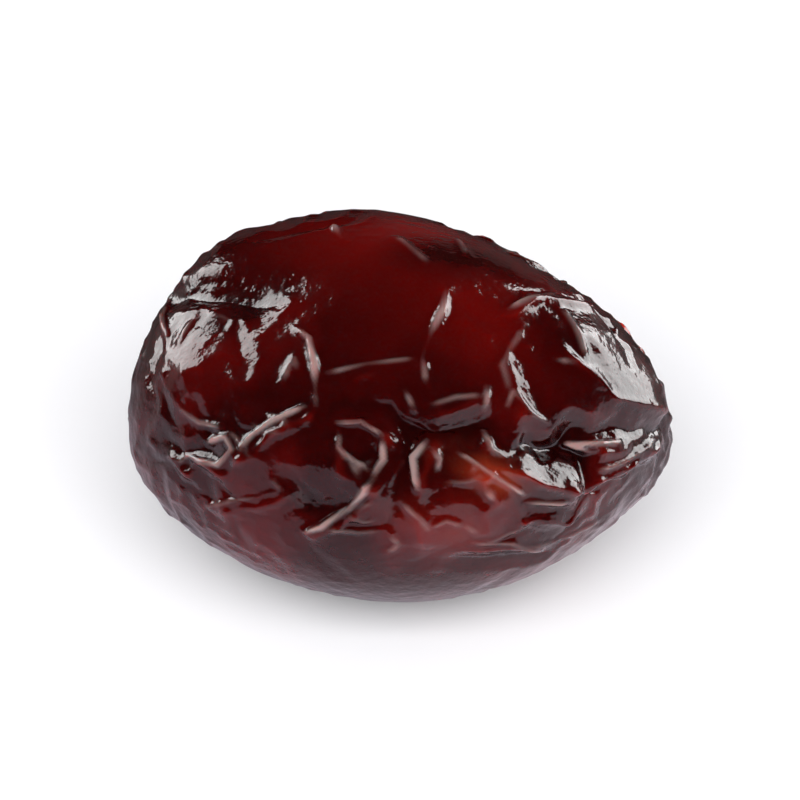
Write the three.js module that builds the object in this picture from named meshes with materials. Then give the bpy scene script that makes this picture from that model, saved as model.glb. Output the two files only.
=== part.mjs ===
// One dried cranberry, whole, sweetened and dried until its skin has wrinkled, lying on its belly.
//
// The fruit is one solid. Its form is made the way the real one gets it: a plump oval with its
// swellings, creases and fold ridges is wrapped in a skin that is too large for it, and the skin is
// left to buckle against the pulp until it lies still. Millimetres, +Z up. X runs from the stem end
// (-X) to the blossom end (+X), the front faces -Y, and the fruit rests on the plane z = 0.

import * as THREE from "three";
import { mergeVertices } from "three/addons/utils/BufferGeometryUtils.js";

// Size of the finished fruit over its wrinkles.
const LENGTH = 14.0;
const WIDTH = 11.7;
const HEIGHT = 8.9;

// The belly is pressed flat by this much where the fruit lies on the table.
const BELLY_PRESSED = 0.35;

// Edges of the icosahedron are cut into this many, which gives 20 times its square of triangles.
// Vertices closer than the tolerance, on a sphere of radius 1, are one vertex.
const SKIN_DIVISIONS = 24;
const MERGE_TOLERANCE = 1e-5;

// Angles on the surface are turned into millimetres of skin with this mean radius.
const MEAN_RADIUS = 5.8;

// Places on the fruit are [longitude, latitude] in degrees. Longitude 0 is the front and 90 the
// blossom end, and latitude 90 is the top.

// Broad swellings and hollows of the pulp: place, radius and height.
const SWELLINGS = [
  { name: "dome", at: [-25, 82], radius: 2.6, height: 0.45 },
  { name: "behind the dome", at: [-163, 45], radius: 2.0, height: 0.35 },
  { name: "upper left shoulder", at: [-110, 46], radius: 1.8, height: 0.65 },
  { name: "lower left shoulder", at: [-70, 34], radius: 1.2, height: 0.4 },
  { name: "behind the left shoulder", at: [-132, 32], radius: 2.2, height: 0.5 },
  { name: "right shoulder", at: [72, 44], radius: 1.3, height: 0.3 },
  { name: "under the right shoulder", at: [80, 14], radius: 1.3, height: 0.35 },
  { name: "hollow behind the right shoulder", at: [135, 42], radius: 2.2, height: -0.45 },
  { name: "stem end", at: [-92, 22], radius: 1.8, height: 0.35 },
  { name: "low stem end", at: [-84, -14], radius: 2.2, height: 0.3 },
  { name: "low blossom end", at: [86, -14], radius: 2.0, height: 0.5 },
  { name: "hollow under the dome", at: [-3, 42], radius: 1.2, height: -0.15 },
  { name: "hollow over the right cheek", at: [16, 37], radius: 0.9, height: -0.12 },
  { name: "left of the dome", at: [-52, 48], radius: 1.3, height: 0.2 },
  { name: "left cheek", at: [-28, 28], radius: 1.5, height: 0.2 },
  { name: "hollow under the left cheek", at: [-19, 14], radius: 0.8, height: -0.3 },
  { name: "hollow in the ring", at: [-9, 30], radius: 0.45, height: -0.35 },
  { name: "right cheek", at: [11, 15], radius: 1.3, height: 0.2 },
  { name: "hollow over the right ledge", at: [42, 25], radius: 0.7, height: -0.2 },
  { name: "back cheek", at: [180, 5], radius: 3.0, height: 0.25 },
  { name: "hollow at the stem end", at: [-150, 5], radius: 2.2, height: -0.35 },
  { name: "hollow at the blossom end", at: [120, 12], radius: 2.0, height: -0.3 },
];

// Creases, where the skin has sunk in along a line: its places, half width and depth.
const CREASES = [
  { name: "mouth", along: [[-20, 46], [-3, 45], [5, 39]], width: 0.35, depth: 0.15 },
  { name: "chin", along: [[0, 36], [0, 15]], width: 0.3, depth: 0.28 },
  { name: "through the left shoulder", along: [[-101, 34], [-91, 50], [-82, 56]], width: 0.32, depth: 0.28 },
  { name: "over the right cheek", along: [[8, 41], [24, 38]], width: 0.35, depth: 0.15 },
  { name: "over the right ledge", along: [[34, 29], [42, 23], [48, 16]], width: 0.35, depth: 0.42 },
  { name: "under the right shoulder", along: [[47, 27], [62, 19], [80, 3]], width: 0.35, depth: 0.3 },
  { name: "low right", along: [[14, -9], [33, -16]], width: 0.3, depth: 0.25 },
];

// Fold ridges, where the skin stands up in a thin line: its places, half width and height.
const RIDGES = [
  { name: "left of the dome", along: [[-49, 60], [-37, 58], [-25, 41]], width: 0.25, height: 0.12 },
  { name: "left of that", along: [[-38, 45], [-40, 52], [-35, 49]], width: 0.25, height: 0.08 },
  { name: "over the left cheek", along: [[-40, 21], [-35, 31], [-27, 39]], width: 0.26, height: 0.26 },
  { name: "brow of the ring", along: [[-18, 41], [-9, 40], [-3, 35]], width: 0.26, height: 0.32 },
  { name: "ring", along: [[-3, 35], [-4, 25], [-9, 21], [-15, 24], [-15, 32]], width: 0.27, height: 0.32 },
  { name: "under the ring", along: [[-6, 19], [-11, 11], [-20, 1]], width: 0.26, height: 0.29 },
  { name: "low left", along: [[-43, -1], [-35, 6], [-27, 13]], width: 0.25, height: 0.12 },
  { name: "left loop", along: [[-48, 24], [-41, 21], [-44, 14], [-52, 13]], width: 0.25, height: 0.22 },
  { name: "left edge", along: [[-60, 8], [-52, 6]], width: 0.25, height: 0.15 },
  { name: "right of the dome", along: [[47, 77], [15, 64], [9, 50]], width: 0.26, height: 0.06 },
  { name: "brow under the dome", along: [[-18, 52], [-7, 56], [7, 57]], width: 0.25, height: 0.12 },
  { name: "right of the mouth", along: [[10, 43], [25, 45]], width: 0.25, height: 0.12 },
  { name: "right of the chin", along: [[9, 33], [4, 23], [2, 13], [5, 2]], width: 0.3, height: 0.26 },
  { name: "post", along: [[22, 33], [22, 22]], width: 0.25, height: 0.22 },
  { name: "top of the right shoulder", along: [[60, 62], [80, 59], [93, 45]], width: 0.25, height: 0.22 },
  { name: "edge of the right shoulder", along: [[60, 47], [65, 28], [80, 8]], width: 0.25, height: 0.15 },
  { name: "right of centre", along: [[39, 50], [36, 40]], width: 0.25, height: 0.15 },
  { name: "over the right cheek", along: [[33, 39], [38, 34], [42, 29]], width: 0.25, height: 0.16 },
  { name: "slanting", along: [[16, 24], [22, 16], [27, 5]], width: 0.25, height: 0.22 },
  { name: "low right dash", along: [[29, 4], [41, -3]], width: 0.25, height: 0.2 },
  { name: "short", along: [[18, 13], [20, 2]], width: 0.25, height: 0.15 },
  { name: "low right", along: [[15, -4], [25, -6], [34, -12]], width: 0.25, height: 0.15 },
  { name: "upper fan", along: [[52, 17], [61, 11]], width: 0.25, height: 0.15 },
  { name: "lower fan", along: [[44, 9], [56, 6], [76, 1]], width: 0.26, height: 0.22 },
  { name: "right ledge", along: [[28, 22], [35, 15], [41, 9]], width: 0.32, height: 0.42 },
];

// Away from the front the skin is folded into small panes with ridges between them: how many panes
// the whole fruit would have, how unevenly they lie, the half width and height of the ridges, how
// much stronger or weaker a pane's ridges are, and the angles from the middle of the front between
// which they set in.
const PANES = {
  count: 90,
  unevenness: 0.35,
  width: 0.28,
  height: 0.11,
  weakest: 0.4,
  strongest: 1.3,
  front: [0, 35],
  from: 95,
  to: 120,
};
const GOLDEN_ANGLE = Math.PI * (3 - Math.sqrt(5));

// Scars, where the calyx and the stem were: a low ring of this radius, half width and height, round a
// pit of this radius and depth.
const SCARS = [
  {
    name: "calyx scar",
    at: [116, 8],
    ring: { radius: 0.85, width: 0.28, height: 0.3 },
    pit: { radius: 0.53, depth: 0.5 },
  },
  {
    name: "stem scar",
    at: [-112, 4],
    ring: { radius: 0.5, width: 0.26, height: 0.15 },
    pit: { radius: 0.31, depth: 0.4 },
  },
];

// How much spare skin a patch has against the rest of the fruit: place, radius and share.
const CALM_PATCHES = [
  { name: "dome", at: [-25, 80], radius: 2.6, share: 0.0 },
  { name: "behind the dome", at: [165, 62], radius: 2.2, share: 0.1 },
  { name: "belly", at: [-6, -28], radius: 3.7, share: 0.1 },
  { name: "left cheek", at: [-32, 25], radius: 0.9, share: 0.0 },
  { name: "right shoulder", at: [78, 24], radius: 1.7, share: 0.0 },
  { name: "upper left shoulder", at: [-107, 52], radius: 1.5, share: 0.05 },
  { name: "lower left shoulder", at: [-84, 36], radius: 1.1, share: 0.4 },
  { name: "right pane", at: [48, 37], radius: 0.9, share: 0.2 },
  { name: "resting spot", at: [0, -90], radius: 2.6, share: 0.2 },
];
const BUSY_PATCHES = [
  { name: "left edge", at: [-50, 14], radius: 1.4, share: 1.4 },
  { name: "beside the left shoulder", at: [-60, 30], radius: 1.0, share: 1.8 },
  { name: "right fan", at: [55, 5], radius: 1.8, share: 1.8 },
  { name: "stem end", at: [-90, 0], radius: 2.2, share: 0.5 },
  { name: "blossom end", at: [90, -5], radius: 2.0, share: 1.1 },
  { name: "mouth", at: [5, 40], radius: 1.3, share: 1.4 },
];

// Random fields on the fruit: how many waves go into one, how close together they are, and how
// strong they are. The lobes are a share of the radius, the dents millimetres that start the folds,
// and the unevenness a share of the spare skin. A wave's own pitch differs by the spread.
const LOBES = { waves: 12, pitch: 2.2, strength: 0.02 };
const DENTS = { waves: 40, pitch: 14, strength: 0.04, jitter: 0.012 };
const UNEVENNESS = { waves: 14, pitch: 3.5, strength: 0.3 };
const PITCH_SPREAD = 0.3;

// The skin: its spare length as a share of the oval's, how stiff it is against bending, and how
// firmly the pulp holds it outward, inward, deeper than a depth, and sideways. The stiffnesses are
// shares of the skin's own stretching stiffness.
const SPARE_SKIN = 0.08;
const BENDING = 0.02;
const PULP_HOLDS_OUT = 0.08;
const PULP_HOLDS_IN = 0.01;
const PULP_HOLDS_DEEP = 0.05;
const PULP_DEPTH = 0.35;
const PULP_HOLDS_SIDEWAYS = 0.006;

// The drying runs in this many small steps. The spare skin grows in over the first share of them.
const STEPS = 2400;
const GROWING_SHARE = 0.6;
const STEP_SIZE = 0.35;
const KEEP_SPEED = 0.9;

const SEED = 7;

// A seeded source of numbers from 0 to 1.
function seededRandom(seed) {
  const multiplier = 1664525;
  const increment = 1013904223;
  let state = seed >>> 0;
  return () => {
    state = (Math.imul(state, multiplier) + increment) >>> 0;
    return state / 2 ** 32;
  };
}
const random = seededRandom(SEED);

// A smooth random field on directions: cosines of about one pitch, times their strength.
function randomField({ waves, pitch, strength }) {
  const terms = Array.from({ length: waves }, () => {
    const z = 2 * random() - 1;
    const turn = 2 * Math.PI * random();
    const flat = Math.sqrt(1 - z * z);
    const ownPitch = pitch * (1 + PITCH_SPREAD * (2 * random() - 1));
    return {
      wave: new THREE.Vector3(flat * Math.cos(turn), flat * Math.sin(turn), z).multiplyScalar(ownPitch),
      phase: 2 * Math.PI * random(),
    };
  });
  const scale = strength / Math.sqrt(waves / 2);
  return (direction) => scale * terms.reduce((sum, t) => sum + Math.cos(t.wave.dot(direction) + t.phase), 0);
}

function directionOf([longitude, latitude]) {
  const lon = THREE.MathUtils.degToRad(longitude);
  const lat = THREE.MathUtils.degToRad(latitude);
  return new THREE.Vector3(
    Math.cos(lat) * Math.sin(lon),
    -Math.cos(lat) * Math.cos(lon),
    Math.sin(lat),
  );
}

const angleBetween = (a, b) => Math.acos(THREE.MathUtils.clamp(a.dot(b), -1, 1));
const bell = (x) => Math.exp(-(x ** 2));
const plateau = (x) => Math.exp(-(x ** 4));
const skinBetween = (a, b) => MEAN_RADIUS * angleBetween(a, b);

// Millimetres of skin from a direction to the great arc from one direction to another.
function distanceToArc(direction, from, to) {
  const pole = from.clone().cross(to).normalize();
  const foot = direction.clone().addScaledVector(pole, -direction.dot(pole)).normalize();
  const afterFrom = from.clone().cross(foot).dot(pole) >= 0;
  const beforeTo = foot.clone().cross(to).dot(pole) >= 0;
  if (afterFrom && beforeTo) return skinBetween(direction, foot);
  return Math.min(skinBetween(direction, from), skinBetween(direction, to));
}

function distanceToLine(direction, line) {
  let nearest = Infinity;
  for (let i = 0; i + 1 < line.length; i += 1)
    nearest = Math.min(nearest, distanceToArc(direction, line[i], line[i + 1]));
  return nearest;
}

const withDirection = (list) => list.map((item) => ({ ...item, centre: directionOf(item.at) }));
const withLine = (list) => list.map((item) => ({ ...item, line: item.along.map(directionOf) }));
const swellings = withDirection(SWELLINGS);
const scars = withDirection(SCARS);
const calmPatches = withDirection(CALM_PATCHES);
const busyPatches = withDirection(BUSY_PATCHES);
const creases = withLine(CREASES);
const ridges = withLine(RIDGES);

// The middles of the panes, spread evenly over the fruit along a spiral and then shifted at random,
// and how strong each pane's ridges are.
const panes = Array.from({ length: PANES.count }, (_, i) => {
  const up = 1 - (2 * i + 1) / PANES.count;
  const flat = Math.sqrt(1 - up ** 2);
  const turn = i * GOLDEN_ANGLE;
  const shift = () => PANES.unevenness * (random() - 0.5);
  const centre = new THREE.Vector3(flat * Math.cos(turn), flat * Math.sin(turn), up);
  centre.add(new THREE.Vector3(shift(), shift(), shift())).normalize();
  return { centre, strength: THREE.MathUtils.lerp(PANES.weakest, PANES.strongest, random()) };
});
const panesFront = directionOf(PANES.front);

// Height of the ridge between the two panes nearest to a direction.
function paneRidgeAt(direction) {
  const fromFront = THREE.MathUtils.radToDeg(angleBetween(direction, panesFront));
  const setIn = THREE.MathUtils.smoothstep(fromFront, PANES.from, PANES.to);
  if (setIn === 0) return 0;
  const [first, second] = panes
    .map(({ centre, strength }) => ({ strength, away: skinBetween(direction, centre) }))
    .sort((a, b) => a.away - b.away);
  const toRidge = (second.away - first.away) / 2;
  return setIn * PANES.height * first.strength * second.strength * bell(toRidge / PANES.width);
}

// Height of the pulp's own relief over the plain oval, in millimetres.
function reliefAt(direction) {
  let height = paneRidgeAt(direction);
  for (const s of swellings)
    height += s.height * bell(skinBetween(direction, s.centre) / s.radius);
  for (const c of creases) height -= c.depth * bell(distanceToLine(direction, c.line) / c.width);
  for (const r of ridges) height += r.height * bell(distanceToLine(direction, r.line) / r.width);
  for (const { centre, ring, pit } of scars) {
    const away = skinBetween(direction, centre);
    height += ring.height * bell((away - ring.radius) / ring.width) - pit.depth * bell(away / pit.radius);
  }
  return height;
}

// Share of the usual spare skin that a place has.
function spareShareAt(direction, unevenness) {
  let share = 1 + unevenness(direction);
  for (const p of busyPatches)
    share *= 1 + (p.share - 1) * bell(skinBetween(direction, p.centre) / p.radius);
  for (const p of calmPatches)
    share *= 1 + (p.share - 1) * plateau(skinBetween(direction, p.centre) / p.radius);
  return Math.max(0, share);
}

// A closed sphere of triangles with shared vertices, each vertex a direction.
function sphereOfTriangles() {
  const geometry = new THREE.IcosahedronGeometry(1, SKIN_DIVISIONS - 1);
  geometry.deleteAttribute("normal");
  geometry.deleteAttribute("uv");
  return mergeVertices(geometry, MERGE_TOLERANCE);
}

// The edges of a triangle mesh as pairs of vertices, and each vertex's neighbours.
function edgesOf(triangles, vertexCount) {
  const edges = [];
  const neighbours = Array.from({ length: vertexCount }, () => []);
  const seen = new Set();
  for (let i = 0; i < triangles.length; i += 3) {
    for (let k = 0; k < 3; k += 1) {
      const a = Math.min(triangles[i + k], triangles[i + ((k + 1) % 3)]);
      const b = Math.max(triangles[i + k], triangles[i + ((k + 1) % 3)]);
      if (seen.has(a * vertexCount + b)) continue;
      seen.add(a * vertexCount + b);
      edges.push([a, b]);
      neighbours[a].push(b);
      neighbours[b].push(a);
    }
  }
  return { edges, neighbours };
}

// Mean of the neighbours less the vertex itself, for every vertex.
function curvatureOf(points, neighbours, result) {
  for (let i = 0; i < neighbours.length; i += 1) {
    const around = neighbours[i];
    for (let axis = 0; axis < 3; axis += 1) {
      let sum = 0;
      for (let k = 0; k < around.length; k += 1) sum += points[3 * around[k] + axis];
      result[3 * i + axis] = sum / around.length - points[3 * i + axis];
    }
  }
}

// The plump oval with its relief: where each bit of skin is at home, and which way is out.
function homeSurface(sphere, lobes) {
  const count = sphere.attributes.position.count;
  const half = new THREE.Vector3(LENGTH / 2, WIDTH / 2, (HEIGHT + BELLY_PRESSED) / 2);
  const places = new Float64Array(3 * count);
  const directions = [];
  for (let i = 0; i < count; i += 1) {
    const direction = new THREE.Vector3().fromBufferAttribute(sphere.attributes.position, i).normalize();
    const outward = direction.clone().divide(half).normalize();
    direction
      .clone()
      .multiply(half)
      .multiplyScalar(1 + lobes(direction))
      .addScaledVector(outward, reliefAt(direction))
      .toArray(places, 3 * i);
    directions.push(direction);
  }
  const shape = new THREE.BufferGeometry();
  shape.setAttribute("position", new THREE.BufferAttribute(Float32Array.from(places), 3));
  shape.setIndex(sphere.index);
  shape.computeVertexNormals();
  return { places, outwards: Float64Array.from(shape.attributes.normal.array), directions };
}

// Lets the spare skin buckle against the pulp, and returns where its vertices come to rest.
function dryTheSkin(sphere) {
  const lobes = randomField(LOBES);
  const dents = randomField(DENTS);
  const unevenness = randomField(UNEVENNESS);
  const { places: home, outwards, directions } = homeSurface(sphere, lobes);
  const { edges, neighbours } = edgesOf(sphere.index.array, directions.length);
  const spare = directions.map((direction) => spareShareAt(direction, unevenness));
  const homeOf = (a) => new THREE.Vector3().fromArray(home, 3 * a);
  const homeLengths = edges.map(([a, b]) => homeOf(a).distanceTo(homeOf(b)));
  const edgeSpares = edges.map(([a, b]) => (spare[a] + spare[b]) / 2);

  const points = home.slice();
  directions.forEach((direction, i) => {
    const dent = Math.abs(dents(direction) + DENTS.jitter * (random() - 0.5));
    for (let axis = 0; axis < 3; axis += 1) points[3 * i + axis] -= dent * outwards[3 * i + axis];
  });

  const speeds = new Float64Array(points.length);
  const forces = new Float64Array(points.length);
  const curvature = new Float64Array(points.length);
  const bending = new Float64Array(points.length);
  const homeCurvature = new Float64Array(points.length);
  const homeBending = new Float64Array(points.length);
  curvatureOf(home, neighbours, homeCurvature);
  curvatureOf(homeCurvature, neighbours, homeBending);
  const table = BELLY_PRESSED - (HEIGHT + BELLY_PRESSED) / 2;

  for (let step = 1; step <= STEPS; step += 1) {
    const grown = SPARE_SKIN * Math.min(1, step / (STEPS * GROWING_SHARE));
    forces.fill(0);
    edges.forEach(([a, b], k) => {
      const x = points[3 * b] - points[3 * a];
      const y = points[3 * b + 1] - points[3 * a + 1];
      const z = points[3 * b + 2] - points[3 * a + 2];
      const length = Math.sqrt(x * x + y * y + z * z);
      const pull = (length - homeLengths[k] * (1 + grown * edgeSpares[k])) / length;
      forces[3 * a] += pull * x;
      forces[3 * a + 1] += pull * y;
      forces[3 * a + 2] += pull * z;
      forces[3 * b] -= pull * x;
      forces[3 * b + 1] -= pull * y;
      forces[3 * b + 2] -= pull * z;
    });
    curvatureOf(points, neighbours, curvature);
    curvatureOf(curvature, neighbours, bending);
    for (let i = 0; i < points.length; i += 3) {
      const x = points[i] - home[i];
      const y = points[i + 1] - home[i + 1];
      const z = points[i + 2] - home[i + 2];
      const out = x * outwards[i] + y * outwards[i + 1] + z * outwards[i + 2];
      const hold = out > 0 ? PULP_HOLDS_OUT : PULP_HOLDS_IN;
      const push = -hold * out + PULP_HOLDS_DEEP * Math.max(0, -PULP_DEPTH - out);
      const along = push + PULP_HOLDS_SIDEWAYS * out;
      forces[i] += along * outwards[i] - PULP_HOLDS_SIDEWAYS * x;
      forces[i + 1] += along * outwards[i + 1] - PULP_HOLDS_SIDEWAYS * y;
      forces[i + 2] += along * outwards[i + 2] - PULP_HOLDS_SIDEWAYS * z;
    }
    for (let i = 0; i < points.length; i += 1) {
      forces[i] -= BENDING * (bending[i] - homeBending[i]);
      speeds[i] = speeds[i] * KEEP_SPEED + forces[i] * STEP_SIZE;
      points[i] += speeds[i] * STEP_SIZE;
    }
    for (let i = 2; i < points.length; i += 3) {
      if (points[i] > table) continue;
      points[i] = table;
      speeds[i] = 0;
    }
  }
  return points;
}

// The skin as a closed mesh of exactly the stated size, standing on z = 0.
function wrinkledSkin() {
  const sphere = sphereOfTriangles();
  const skin = new THREE.BufferGeometry();
  skin.setAttribute("position", new THREE.BufferAttribute(Float32Array.from(dryTheSkin(sphere)), 3));
  skin.setIndex(sphere.index);
  skin.computeBoundingBox();
  const size = skin.boundingBox.getSize(new THREE.Vector3());
  const middle = skin.boundingBox.getCenter(new THREE.Vector3());
  skin.translate(-middle.x, -middle.y, -skin.boundingBox.min.z);
  skin.scale(LENGTH / size.x, WIDTH / size.y, HEIGHT / size.z);
  skin.computeVertexNormals();
  return skin;
}

function makeCranberry() {
  const skin = new THREE.MeshStandardMaterial({ color: 0x4a0c0e, roughness: 0.28, metalness: 0 });
  const mesh = new THREE.Mesh(wrinkledSkin(), skin);
  mesh.name = "cranberry";
  return mesh;
}

const driedCranberry = new THREE.Group();
driedCranberry.add(makeCranberry());

export default driedCranberry;
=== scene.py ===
import math

import bpy
import numpy as np
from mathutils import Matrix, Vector


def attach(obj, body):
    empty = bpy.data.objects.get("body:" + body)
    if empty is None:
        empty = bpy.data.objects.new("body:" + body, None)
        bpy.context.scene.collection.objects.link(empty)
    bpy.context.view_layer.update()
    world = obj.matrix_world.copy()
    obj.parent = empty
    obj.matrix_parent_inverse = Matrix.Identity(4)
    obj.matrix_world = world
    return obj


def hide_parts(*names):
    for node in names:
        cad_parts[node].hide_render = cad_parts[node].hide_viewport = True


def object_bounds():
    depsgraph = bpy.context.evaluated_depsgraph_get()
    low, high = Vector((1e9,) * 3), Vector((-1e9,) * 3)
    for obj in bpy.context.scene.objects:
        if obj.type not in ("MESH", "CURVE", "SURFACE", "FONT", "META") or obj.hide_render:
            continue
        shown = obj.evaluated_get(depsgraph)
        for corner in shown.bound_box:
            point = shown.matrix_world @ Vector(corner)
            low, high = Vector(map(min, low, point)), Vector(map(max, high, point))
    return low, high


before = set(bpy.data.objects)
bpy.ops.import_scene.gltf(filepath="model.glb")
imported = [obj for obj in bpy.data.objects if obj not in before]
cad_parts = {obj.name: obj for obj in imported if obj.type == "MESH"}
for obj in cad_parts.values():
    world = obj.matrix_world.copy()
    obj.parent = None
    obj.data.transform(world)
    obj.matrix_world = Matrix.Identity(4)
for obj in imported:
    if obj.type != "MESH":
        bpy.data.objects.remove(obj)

cad_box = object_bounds()
scene = bpy.context.scene

# The camera. It looks down on the front of the fruit at the angle of the photograph, through a long
# lens, from about the distance that a close-up of a handful of fruit is taken from.
camera_up = 37.0
camera_distance = 0.25
nearest_seen, farthest_seen = 0.01, 10.0
frame_width = 0.0205
sensor_width = 36.0
middle = (Vector(cad_box[0]) + Vector(cad_box[1])) / 2


def stood(thing, name, around, up, distance):
    """A camera or a light on a stand, aimed at the fruit. It stands at so many degrees around the
    fruit, where 0 is straight behind it and 90 to its right, and so many degrees up."""
    around, up = math.radians(around), math.radians(up)
    away = Vector((math.sin(around) * math.cos(up), math.cos(around) * math.cos(up), math.sin(up)))
    stand = bpy.data.objects.new(name, thing)
    stand.location = middle + distance * away
    stand.rotation_euler = (-away).to_track_quat("-Z", "Y").to_euler()
    scene.collection.objects.link(stand)
    return stand


camera = bpy.data.cameras.new("camera")
camera.sensor_width = sensor_width
camera.lens = sensor_width * camera_distance / frame_width
camera.clip_start = nearest_seen
camera.clip_end = farthest_seen
scene.camera = stood(camera, "camera", 180.0, camera_up, camera_distance)

# The table. A plain, matt, almost white board, so large that it fills the picture from any side.
# Only in the skin's gloss is the board painted other colours, as a painted reflection: lilac in
# front, paler to the right, and dark behind, which keeps the top of the fruit free of glare.
table_side = 4.0
board_white = (0.92, 0.915, 0.935)
lilac_reflection = (0.56, 0.49, 0.57)
pale_reflection = (0.95, 0.86, 0.95)
dark_reflection = (0.030, 0.004, 0.004)
reflection_turns_pale_at, reflection_fully_pale_at = -0.006, 0.008
front_of_dark, full_dark = -0.002, 0.012
board_roughness = 0.7


def coordinate(tree, kind, axis):
    """One coordinate of the point that is shaded."""
    split = tree.nodes.new("ShaderNodeSeparateXYZ")
    tree.links.new(tree.nodes.new("ShaderNodeTexCoord").outputs[kind], split.inputs[0])
    return split.outputs[axis]


def spread(tree, value, low, high, low_gives=0.0, high_gives=1.0):
    """The values between low and high, spread smoothly over what the two give."""
    steps = tree.nodes.new("ShaderNodeMapRange")
    steps.interpolation_type = "SMOOTHSTEP"
    limits = {"From Min": low, "From Max": high, "To Min": low_gives, "To Max": high_gives}
    for name, limit in limits.items():
        steps.inputs[name].default_value = limit
    tree.links.new(value, steps.inputs["Value"])
    return steps.outputs["Result"]


def blended(tree, first, second, share):
    """A colour between two others. Each may be a plain colour or the output of a node."""
    mix = tree.nodes.new("ShaderNodeMix")
    mix.data_type = "RGBA"
    share_in, first_in, second_in = mix.inputs[0], mix.inputs[6], mix.inputs[7]
    for socket, colour in ((first_in, first), (second_in, second)):
        if isinstance(colour, tuple):
            socket.default_value = (*colour, 1.0)
        else:
            tree.links.new(colour, socket)
    tree.links.new(share, share_in)
    return mix.outputs[2]


half_side = table_side / 2
corners = [(x * half_side, y * half_side, 0.0) for x, y in ((-1, -1), (1, -1), (1, 1), (-1, 1))]
table_mesh = bpy.data.meshes.new("table")
table_mesh.from_pydata(corners, [], [(0, 1, 2, 3)])
table = bpy.data.objects.new("table", table_mesh)
scene.collection.objects.link(table)

board = bpy.data.materials.new("matt_white_board")
board.use_nodes = True
tree = board.node_tree
# Painted reflection: glossy rays see the board lilac, pale and dark instead of white.
to_right = spread(tree, coordinate(tree, "Object", "X"), reflection_turns_pale_at, reflection_fully_pale_at)
to_back = spread(tree, coordinate(tree, "Object", "Y"), front_of_dark, full_dark)
in_gloss = tree.nodes.new("ShaderNodeLightPath").outputs["Is Glossy Ray"]
painted_reflection = blended(tree, blended(tree, lilac_reflection, pale_reflection, to_right), dark_reflection, to_back)
board_shader = tree.nodes["Principled BSDF"]
tree.links.new(blended(tree, board_white, painted_reflection, in_gloss), board_shader.inputs["Base Color"])
board_shader.inputs["Roughness"].default_value = board_roughness
table_mesh.materials.append(board)

# The studio light. Two wide soft boxes stand low behind the fruit, at its left and its right. Each
# has a bright face, which only the skin mirrors, and a soft glow for all that is matt. A third glow
# comes from the front, so that the shadow on the table stays faint.
light_distance = 0.8
soft_boxes = {
    "left_face": {"around": -54, "up": 19, "width": 36, "height": 36, "radiance": 6.8},
    "right_face": {"around": 54, "up": 15, "width": 46, "height": 30, "radiance": 8.0},
    "left_glow": {"around": -54, "up": 29, "width": 90, "height": 60, "radiance": 0.3},
    "right_glow": {"around": 54, "up": 25, "width": 90, "height": 60, "radiance": 0.3},
    "front_glow": {"around": 180, "up": 38, "width": 90, "height": 60, "radiance": 3.6},
}
for name, box in soft_boxes.items():
    light = bpy.data.lights.new(name, "AREA")
    light.shape = "RECTANGLE"
    light.size = 2 * light_distance * math.tan(math.radians(box["width"] / 2))
    light.size_y = 2 * light_distance * math.tan(math.radians(box["height"] / 2))
    light.energy = box["radiance"] * math.pi * light.size * light.size_y
    stand = stood(light, name, box["around"], box["up"], light_distance)
    stand.visible_diffuse = name.endswith("_glow")
    stand.visible_glossy = name.endswith("_face")

# The room. A pale tent around the table lights it evenly. The skin mirrors it darker, brightest
# just above the edge of the table.
tent = (0.32, 0.32, 0.33)
backdrop = (0.88, 0.88, 0.90)
ceiling_in_gloss = (0.014, 0.012, 0.012)
rim_in_gloss = (0.030, 0.016, 0.016)
rim_height = 0.22

room = bpy.data.worlds.new("room")
scene.world = room
room.use_nodes = True
tree = room.node_tree
above_rim = spread(tree, coordinate(tree, "Generated", "Z"), 0.0, rim_height)
ray = tree.nodes.new("ShaderNodeLightPath").outputs
walls_in_gloss = blended(tree, rim_in_gloss, ceiling_in_gloss, above_rim)
walls = blended(tree, tent, walls_in_gloss, ray["Is Glossy Ray"])
walls = blended(tree, walls, backdrop, ray["Is Camera Ray"])
tree.links.new(walls, tree.nodes["Background"].inputs["Color"])
scene.view_settings.view_transform = "Standard"

# The skin and the flesh in it, one piece. The skin of a dried cranberry is a thin tough film over a
# jelly of sugared flesh. It follows the large folds of the solid, buckles again between them into
# finer ones, and is pinched here and there into thin upright folds. Lengths are in millimetres.
mm_per_metre = 1000.0
weld_distance = 0.001


def welded(points, faces):
    """Points that fall together are made one."""
    grid = np.round(points / weld_distance).astype(np.int64)
    _, first, number = np.unique(grid, axis=0, return_index=True, return_inverse=True)
    return points[first], number.reshape(-1)[faces]


def edges_of(faces):
    """The edges as pairs of points, and each face's three edges."""
    pairs = np.concatenate([faces[:, [0, 1]], faces[:, [1, 2]], faces[:, [2, 0]]])
    pairs.sort(axis=1)
    edges, number = np.unique(pairs, axis=0, return_inverse=True)
    return edges, number.reshape(3, -1).T


def outward(points, faces):
    """Unit normals at the points. Points are kept as three rows: across, back and up."""
    corners = points.T[faces]
    across = np.cross(corners[:, 1] - corners[:, 0], corners[:, 2] - corners[:, 0])
    total = np.stack([
        sum(np.bincount(faces[:, corner], across[:, axis], points.shape[1]) for corner in range(3))
        for axis in range(3)])
    return total / np.linalg.norm(total, axis=0)


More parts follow.
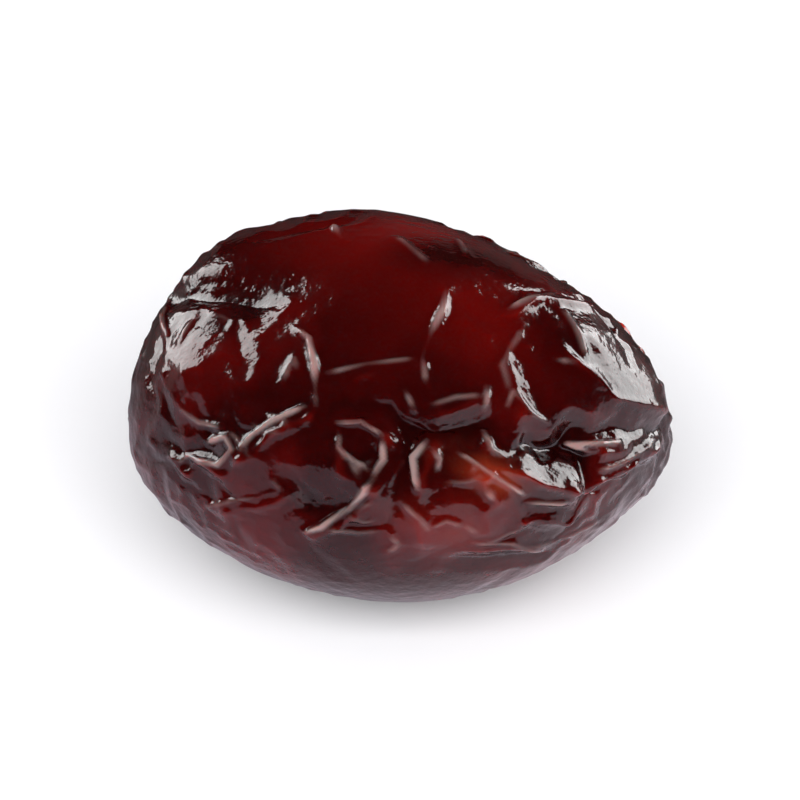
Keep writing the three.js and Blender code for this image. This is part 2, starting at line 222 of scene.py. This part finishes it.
class Film:
    """How the points of the skin hang together."""

    def __init__(self, faces, count):
        self.edges, _ = edges_of(faces)
        ends = np.concatenate([self.edges, self.edges[:, ::-1]])
        ends = ends[np.argsort(ends[:, 0], kind="stable")]
        self.around = np.bincount(ends[:, 0], minlength=count)
        column = np.arange(len(ends)) - np.searchsorted(ends[:, 0], np.arange(count))[ends[:, 0]]
        self.most = int(self.around.max())
        self.neighbours = np.repeat(np.arange(count)[:, None], self.most, axis=1)
        self.neighbours[ends[:, 0], column] = ends[:, 1]

    def bend(self, values):
        """Mean of the neighbours less the point's own value."""
        total = sum(values[..., self.neighbours[:, k]] for k in range(self.most))
        total = total - (self.most - self.around) * values
        return total / self.around - values

    def smoothed(self, values, rounds, share=0.6):
        """Evens the values out by a share of the bend, so many rounds over."""
        for _ in range(rounds):
            values = values + share * self.bend(values)
        return values

    def widened(self, values, rounds):
        """Spreads the highest values to the points around them."""
        for _ in range(rounds):
            values = values[self.neighbours].max(axis=1)
        return values


def subdivided(points, faces, held):
    """Each triangle becomes four, on a smooth surface, by Loop's rule. A held value goes with it."""
    values = np.vstack([points, held]).T
    edges, face_edges = edges_of(faces)
    count = len(values)
    opposite = np.zeros((len(edges), values.shape[1]))
    for corner in range(3):
        np.add.at(opposite, face_edges[:, corner], values[faces[:, (corner + 2) % 3]])
    halfway = (3 * (values[edges[:, 0]] + values[edges[:, 1]]) + opposite) / 8
    around = np.bincount(edges.ravel(), minlength=count)
    share = np.where(around == 3, 3 / 16, 3 / (8 * around))[:, None]
    total = np.stack([
        np.bincount(edges[:, 0], values[edges[:, 1], column], count)
        + np.bincount(edges[:, 1], values[edges[:, 0], column], count)
        for column in range(values.shape[1])], axis=1)
    kept = values * (1 - around[:, None] * share) + share * total
    a, b, c = faces.T
    ab, bc, ca = (face_edges + count).T
    finer = np.concatenate([
        np.stack([a, ab, ca], axis=1), np.stack([b, bc, ab], axis=1),
        np.stack([c, ca, bc], axis=1), np.stack([ab, bc, ca], axis=1)])
    values = np.concatenate([kept, halfway]).T
    return values[:3], finer, values[3]


# The net of the solid, and how deep each of its points lies in a crease.
plumping_rounds = 120
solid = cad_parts["cranberry"].data
points = np.empty(3 * len(solid.vertices))
solid.vertices.foreach_get("co", points)
faces = np.array([face.vertices[:] for face in solid.polygons])
points, faces = welded(points.reshape(-1, 3) * mm_per_metre, faces)
points = points.T
film = Film(faces, points.shape[1])
plump = film.smoothed(points, plumping_rounds)
depth = ((points - plump) * outward(plump, faces)).sum(axis=0)
depth -= film.smoothed(depth, plumping_rounds)

# A place on the fruit is its longitude and latitude in degrees. Longitude 0 is the front and 90 the
# blossom end, and latitude 90 is the top.
half_size = np.array([7.0, 5.85, 4.45])[:, None]
mean_radius = 5.8


def direction_of(place):
    """The direction of a place from the middle of the fruit."""
    around, up = math.radians(place[0]), math.radians(place[1])
    return np.array([math.cos(up) * math.sin(around), -math.cos(up) * math.cos(around), math.sin(up)])


def directions_of(points):
    """The direction of each point from the middle of the fruit, as if the fruit were a ball."""
    inside = points / half_size
    inside[2] -= 1.0
    return inside / np.linalg.norm(inside, axis=0)


def away_from(directions, direction):
    """Millimetres of skin from each direction to another."""
    return mean_radius * np.linalg.norm(directions - direction[:, None], axis=0)


def patches_at(directions, patches):
    """Soft patches, each given by its place, its radius in millimetres and its strength."""
    return sum(
        strength * np.exp(-(away_from(directions, direction_of(place)) / radius) ** 2)
        for place, radius, strength in patches.values())


def ripples(directions, pitch, seed, waves=14):
    """A smooth random field on the fruit, between about -1 and 1. A higher pitch gives finer
    ripples."""
    least, most = 0.7, 1.3
    rng = np.random.default_rng(seed)
    wave = rng.normal(size=(waves, 3))
    wave *= (pitch * rng.uniform(least, most, waves) / np.linalg.norm(wave, axis=1))[:, None]
    phase = rng.uniform(0.0, 2 * math.pi, waves)
    return np.cos(wave @ directions + phase[:, None]).sum(axis=0) / math.sqrt(waves)


# Where the skin stays smooth: the place of each patch, its radius in millimetres and its strength.
calm_patches = {
    "dome": ((-25, 80), 3.0, 1.0),
    "belly": ((-6, -28), 4.0, 0.8),
    "stem end": ((-92, 5), 3.2, 0.8),
    "low left": ((-52, -34), 2.4, 0.6),
    "low right": ((48, -34), 2.2, 0.5),
}


def calm_at(points):
    """How calm the skin is at each point, from 0 to 1."""
    return np.clip(patches_at(directions_of(points), calm_patches), 0.0, 1.0)


def buckled(home, faces, film, spare, steps, seed):
    """Lets a skin that is longer than its home by the spare share fold up against the flesh, which
    holds it gently near its home and firmly below the depth of a full fold."""
    stiffness = 0.02
    holds_out, holds_in, holds_sideways = 0.006, 0.004, 0.003
    full_depth, holds_deep = 0.25, 0.02
    first_dent, dent_pitch, waves = 0.03, 0.7, 60
    growing, step_size, keep = 0.6, 0.35, 0.9
    a, b = film.edges.T
    home_length = np.linalg.norm(home[:, b] - home[:, a], axis=0)
    mesh_size = home_length.mean()
    out = outward(home, faces)
    dents = ripples(home, dent_pitch / mesh_size, seed, waves) * math.sqrt(2)
    points = home - first_dent * mesh_size * np.abs(dents) * out
    edge_spare = (spare[a] + spare[b]) / 2
    home_bend = film.bend(film.bend(home))
    speed = np.zeros_like(points)
    count = points.shape[1]
    for step in range(1, steps + 1):
        grown = min(1.0, step / (steps * growing))
        along = points[:, b] - points[:, a]
        length = np.sqrt((along * along).sum(axis=0))
        along *= (length - home_length * (1 + grown * edge_spare)) / length
        force = np.stack([
            np.bincount(a, along[axis], count) - np.bincount(b, along[axis], count)
            for axis in range(3)])
        force -= stiffness * (film.bend(film.bend(points)) - home_bend)
        moved = points - home
        height = (moved * out).sum(axis=0)
        push = -np.where(height > 0, holds_out, holds_in) * height
        push += holds_deep * np.maximum(0.0, -full_depth - height) + holds_sideways * height
        force += push * out - holds_sideways * moved
        speed = speed * keep + force * step_size
        points = points + speed * step_size
        sunk = points[2] < 0.0
        points[2][sunk] = 0.0
        speed[2][sunk] = 0.0
    return points


def crested(points, faces, film, relief):
    """Draws the folds together into thin raised lines, and lets the hollows between them fill.
    Also gives how close each point is to being on such a line, from 0 to 1."""
    body_rounds, reach = 120, 6
    tallest, lowest = 0.22, 0.0001
    hollows_kept = 0.6
    foot_narrowing, edge_narrowing, edge_share = 1.8, 8.0, 0.35
    body = film.smoothed(points, body_rounds)
    out = outward(body, faces)
    height = ((points - body) * out).sum(axis=0)
    sideways = points - body - height * out
    raised = np.maximum(height, 0.0)
    crest = film.smoothed(np.maximum(film.widened(raised, reach), lowest), 2 * reach)
    crest = np.maximum(crest, raised)
    nearness = raised / crest
    line = (1 - edge_share) * nearness ** foot_narrowing + edge_share * nearness ** edge_narrowing
    line *= tallest * np.tanh(crest / tallest)
    shape = body + sideways + relief * np.where(height > 0.0, line, hollows_kept * height) * out
    return shape, line / tallest


# The skin buckles on a net four times finer than the solid's, and its folds are drawn up into
# lines on one sixteen times finer.
buckling, buckling_steps, calm_relief = 0.007, 400, 0.4
points, faces, depth = subdivided(points, faces, depth)
film = Film(faces, points.shape[1])
points = buckled(points, faces, film, buckling * (1 - calm_at(points)), buckling_steps, seed=3)
points, faces, depth = subdivided(points, faces, depth)
film = Film(faces, points.shape[1])
calm = calm_at(points)
points, crest = crested(points, faces, film, 1 - (1 - calm_relief) * calm)

# Where the skin of the front is pinched into thin upright folds: the height of each in millimetres,
# and the places that it runs through.
thin_folds = {
    "left of the dome": (0.16, (-49, 60), (-40, 59), (-31, 52), (-25, 41)),
    "hook beside it": (0.08, (-38, 45), (-40, 52), (-35, 49)),
    "left arm of the ring": (0.16, (-40, 21), (-38, 27), (-35, 32), (-28, 40)),
    "cap of the ring": (0.17, (-18, 37), (-11, 38), (-4, 34)),
    "right of the ring": (0.13, (-4, 33), (-4, 26), (-7, 20)),
    "left of the ring": (0.14, (-17, 34), (-16, 29), (-12, 25), (-8, 22)),
    "tail of the ring": (0.16, (-7, 19), (-11, 9), (-17, 1), (-21, -2)),
    "low left dash": (0.10, (-48, -8), (-41, 0), (-28, 11)),
    "curl on the left": (0.14, (-60, 5), (-57, 5), (-56, 8), (-46, 12), (-42, 20), (-46, 22), (-52, 16)),
    "middle arch": (0.16, (4, 18), (4, 27), (8, 32)),
    "inside the arch": (0.14, (9, 30), (10, 27), (9, 23)),
    "post": (0.14, (24, 33), (23, 28), (26, 23)),
    "slope right of the arch": (0.14, (15, 28), (19, 23), (24, 15), (28, 9)),
    "drop under the slope": (0.12, (19, 16), (20, 10)),
    "dash after the slope": (0.14, (29, 6), (40, 1)),
    "low right dash": (0.12, (16, -5), (25, -8), (37, -20)),
    "behind the right shoulder": (0.12, (62, 62), (75, 60), (92, 53)),
    "right of the dome": (0.13, (47, 77), (29, 71), (15, 64), (9, 58), (9, 50)),
    "left side of the lens": (0.08, (35, 42), (38, 50), (49, 54), (59, 56)),
    "right side of the lens": (0.09, (82, 52), (73, 47), (66, 41)),
    "dash in the lens": (0.10, (56, 45), (60, 42)),
    "brow": (0.10, (-26, 51), (-14, 56), (7, 58)),
    "low brow": (0.08, (9, 43), (18, 45), (27, 44)),
    "under the dome": (0.12, (2, 48), (5, 42)),
    "right of the low brow": (0.12, (29, 46), (26, 40)),
    "eye on the right": (0.14, (33, 39), (36, 42), (38, 34), (42, 29)),
    "upper fan": (0.14, (51, 13), (48, 17), (60, 11)),
    "lower fan": (0.14, (50, 6), (59, 4), (74, 0)),
    "under the arch": (0.10, (0, 13), (4, 8), (6, 2)),
    "left shoulder": (0.12, (-81, 28), (-88, 31), (-104, 28)),
    "over the left shoulder": (0.12, (-81, 35), (-86, 41)),
    "behind the left shoulder": (0.12, (-83, 46), (-76, 49), (-72, 46)),
    "left of the curl": (0.09, (-65, 22), (-56, 21), (-48, 24)),
    "belly, right": (0.08, (25, -10), (37, -15), (52, -17)),
    "top, left": (0.12, (-151, 60), (-138, 72)),
    "top, middle": (0.09, (-178, 75), (85, 84)),
    "top, right": (0.10, (150, 64), (122, 73)),
}


def at_back(stop):
    """Whether a place is at the back or on an end, and not under the fruit."""
    edge_of_front, underside = -0.12, -0.75
    return stop @ direction_of((0, 35)) < edge_of_front and stop[2] > underside


def amid_front(stop):
    """Whether a place is in the wrinkled band between the dome and the belly."""
    band_half_length, band_low, band_high = 0.75, -0.15, 0.6
    return stop[1] < 0.0 and abs(stop[0]) < band_half_length and band_low < stop[2] < band_high


def folds_at_random(count, seed, heights, legs, fits):
    """Thin folds of one to three legs each, drawn at random. Only those that fit are kept. Heights
    are in millimetres, and legs are shares of the fruit's mean radius."""
    bending = 0.6
    rng = np.random.default_rng(seed)
    folds = []
    while len(folds) < count:
        stop = rng.normal(size=3)
        stop /= np.linalg.norm(stop)
        stops = [stop]
        heading = rng.normal(size=3)
        for _ in range(rng.integers(1, 4)):
            heading -= (heading @ stop) * stop
            heading /= np.linalg.norm(heading)
            stop = stop + rng.uniform(*legs) * heading
            stop /= np.linalg.norm(stop)
            stops.append(stop)
            heading = heading + bending * rng.normal(size=3)
        height = rng.uniform(*heights)
        if all(fits(stop) for stop in stops):
            folds.append((height, stops))
    return folds


# More folds at the back, and small ones between the others in front.
folds_behind = folds_at_random(
    count=40, seed=23, heights=(0.06, 0.14), legs=(0.12, 0.26), fits=at_back)
small_folds = folds_at_random(
    count=26, seed=22, heights=(0.05, 0.09), legs=(0.04, 0.10), fits=amid_front)


def stops_at(places):
    """The directions of the places that a line runs through."""
    return [direction_of(place) for place in places]


def away_from_line(directions, stops):
    """Millimetres of skin from each direction to a line through the stops."""
    nearest = np.full(directions.shape[1], np.inf)
    for start, end in zip(stops, stops[1:]):
        leg = end - start
        along = np.clip(((directions.T - start) @ leg) / (leg @ leg), 0.0, 1.0)
        foot = start[:, None] + along * leg[:, None]
        nearest = np.minimum(nearest, mean_radius * np.linalg.norm(directions - foot, axis=0))
    return nearest


def mottled(directions, pitch, seed, level, swing):
    """A smooth random share that wanders about a level."""
    least, most = 0.1, 1.3
    return np.clip(level + swing * ripples(directions, pitch, seed), least, most)


def pinched(points, faces, folds):
    """Raises the upright folds, uneven in height and tapered to their ends, the low ones wider than
    the tall. Also gives how near each point is to the edge of one."""
    widest, full_height = 0.165, 0.15
    wobble, wobble_pitch = 0.010, 12.0
    taper, end_height = 0.35, 0.3
    directions = directions_of(points)
    bent = directions + wobble * np.stack([
        ripples(directions, wobble_pitch, seed) for seed in (11, 12, 13)])
    fold = np.zeros(points.shape[1])
    for height, stops in folds:
        half_width = widest - height / 2
        from_end = np.minimum(away_from(bent, stops[0]), away_from(bent, stops[-1]))
        tapered = height * np.clip(end_height + from_end / taper, 0.0, 1.0)
        fold = np.maximum(fold, tapered * np.exp(-(away_from_line(bent, stops) / half_width) ** 2))
    fold *= mottled(directions, pitch=26.0, seed=14, level=0.82, swing=0.25)
    return points + fold * outward(points, faces), fold / full_height


# The pinched skin buckles once more, slightly, and is then made as long, wide and high as the solid.
last_buckling, last_steps = 0.0028, 120
folds_in_front = [(height, stops_at(places)) for height, *places in thin_folds.values()]
points, fold = pinched(points, faces, folds_in_front + folds_behind + small_folds)
points = buckled(points, faces, film, last_buckling * (1 - calm), last_steps, seed=5)
low, high = (np.array(corner)[:, None] * mm_per_metre for corner in cad_box)
own_low, own_high = points.min(axis=1, keepdims=True), points.max(axis=1, keepdims=True)
points = low + (points - own_low) * (high - low) / (own_high - own_low)

# Brighter red painted where light would glow through the flesh, orange painted where light would
# shine through the thin skin, and the dry scars of the blossom and the stem.
painted_glow_patches = {
    "top": ((165, 68), 2.8, 0.75),
    "right of the dome": ((40, 58), 2.0, 0.22),
    "dome": ((-25, 66), 2.6, 0.08),
    "under the arch": ((14, 2), 1.5, 0.25),
}
# Painted glow: orange where light would shine through the thin skin.
orange_line, orange_reach = ((15, 28), (19, 23), (25, 14)), 0.45
orange_patches = {"under the line": ((10, 4), 0.8, 0.4)}
scar_patches = {"blossom": ((116, 8), 1.0, 1.0), "stem": ((-112, 4), 0.6, 1.0)}
where = directions_of(points)
glow = patches_at(where, painted_glow_patches) * mottled(where, pitch=10.0, seed=17, level=0.8, swing=0.6)
orange = np.exp(-(away_from_line(where, stops_at(orange_line)) / orange_reach) ** 2)
orange += patches_at(where, orange_patches)
orange *= mottled(where, pitch=16.0, seed=15, level=0.7, swing=0.5)
scar = patches_at(where, scar_patches) * mottled(where, pitch=22.0, seed=16, level=0.6, swing=0.6)

skin_mesh = bpy.data.meshes.new("cranberry_skin")
skin_mesh.from_pydata((points.T / mm_per_metre).tolist(), [], faces.tolist())
skin_mesh.polygons.foreach_set("use_smooth", np.ones(len(faces), dtype=bool))
skin_mesh.update()
held_values = {
    "depth": depth, "crest": crest, "fold": fold, "glow": glow, "orange": orange, "scar": scar}
for name, values in held_values.items():
    attribute = skin_mesh.attributes.new(name, "FLOAT", "POINT")
    attribute.data.foreach_set("value", values.astype(np.float32))
skin = bpy.data.objects.new("cranberry_skin", skin_mesh)
scene.collection.objects.link(skin)

# The finish of the skin: clear and glossy over dark red flesh, which the light enters.
deep_red = (0.015, 0.0006, 0.0006)
bright_red = (0.058, 0.0016, 0.0014)
# Painted glow: the ridges are coloured brighter red, as if light shone through them.
crest_glow_red = (0.060, 0.0026, 0.0018)
# Painted shade: the skin is coloured darker the deeper it lies in a crease.
crease_shade_red = (0.010, 0.0005, 0.0005)
# Painted glow: brighter red where light would shine through the flesh, most on the top.
painted_glow_red = (0.17, 0.003, 0.002)
# Painted glow: orange where light would shine through the thin skin.
thin_glow_orange = (0.15, 0.015, 0.006)
scar_tan = (0.34, 0.050, 0.018)
# Painted highlight: the thin folds are coloured pale pink, mostly as a painted highlight along them and
# partly as their paler dried edge.
fold_highlight_pink = (0.20, 0.15, 0.145)
crest_glow_range, crease_shade_range, fold_highlight_range = (0.2, 1.0), (-0.45, -0.05), (0.15, 1.0)
red_swells, red_swell_range = 350.0, (0.45, 0.75)
dull_swells, dull_swell_range = 1200.0, (0.35, 0.65)
glossiest, dullest, scar_roughness = 0.10, 0.15, 0.4
pimples, pimple_strength, pimple_height = 3500.0, 0.5, 0.00004
noise_detail = 2.0
skin_ior, light_reach = 1.45, 0.0015
reach_of_red_green_blue = (1.0, 0.10, 0.07)

finish = bpy.data.materials.new("dark_red_skin")
finish.use_nodes = True
tree = finish.node_tree
point_on_skin = tree.nodes.new("ShaderNodeTexCoord").outputs["Object"]


def speckle(swells, low, high):
    """Soft noise with so many swells to a metre, its values between low and high spread from 0
    to 1."""
    noise = tree.nodes.new("ShaderNodeTexNoise")
    noise.inputs["Scale"].default_value = swells
    noise.inputs["Detail"].default_value = noise_detail
    tree.links.new(point_on_skin, noise.inputs["Vector"])
    return spread(tree, noise.outputs["Fac"], low, high)


def held(name):
    """A value that the mesh holds at each of its points."""
    attribute = tree.nodes.new("ShaderNodeAttribute")
    attribute.attribute_name = name
    return attribute.outputs["Fac"]


colour = blended(tree, deep_red, bright_red, speckle(red_swells, *red_swell_range))
# Painted glow along the ridges.
colour = blended(tree, colour, crest_glow_red, spread(tree, held("crest"), *crest_glow_range))
# Painted shade in the creases.
colour = blended(tree, crease_shade_red, colour, spread(tree, held("depth"), *crease_shade_range))
# Painted glow of light through the flesh.
colour = blended(tree, colour, painted_glow_red, held("glow"))
# Painted orange glow through the thin skin.
colour = blended(tree, colour, thin_glow_orange, held("orange"))
colour = blended(tree, colour, scar_tan, held("scar"))
# Painted highlight along the thin folds.
colour = blended(tree, colour, fold_highlight_pink, spread(tree, held("fold"), *fold_highlight_range))

roughness = tree.nodes.new("ShaderNodeMath")
roughness.operation = "MAXIMUM"
of_skin = spread(tree, speckle(dull_swells, *dull_swell_range), 0.0, 1.0, glossiest, dullest)
of_scars = spread(tree, held("scar"), 0.0, 1.0, 0.0, scar_roughness)
tree.links.new(of_skin, roughness.inputs[0])
tree.links.new(of_scars, roughness.inputs[1])

bump = tree.nodes.new("ShaderNodeBump")
bump.inputs["Strength"].default_value = pimple_strength
bump.inputs["Distance"].default_value = pimple_height
tree.links.new(speckle(pimples, 0.0, 1.0), bump.inputs["Height"])

shader = tree.nodes["Principled BSDF"]
shader.inputs["IOR"].default_value = skin_ior
shader.inputs["Subsurface Weight"].default_value = 1.0
shader.inputs["Subsurface Radius"].default_value = reach_of_red_green_blue
shader.inputs["Subsurface Scale"].default_value = light_reach
tree.links.new(colour, shader.inputs["Base Color"])
tree.links.new(roughness.outputs[0], shader.inputs["Roughness"])
tree.links.new(bump.outputs["Normal"], shader.inputs["Normal"])
skin_mesh.materials.append(finish)

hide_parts("cranberry")
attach(skin, "root")
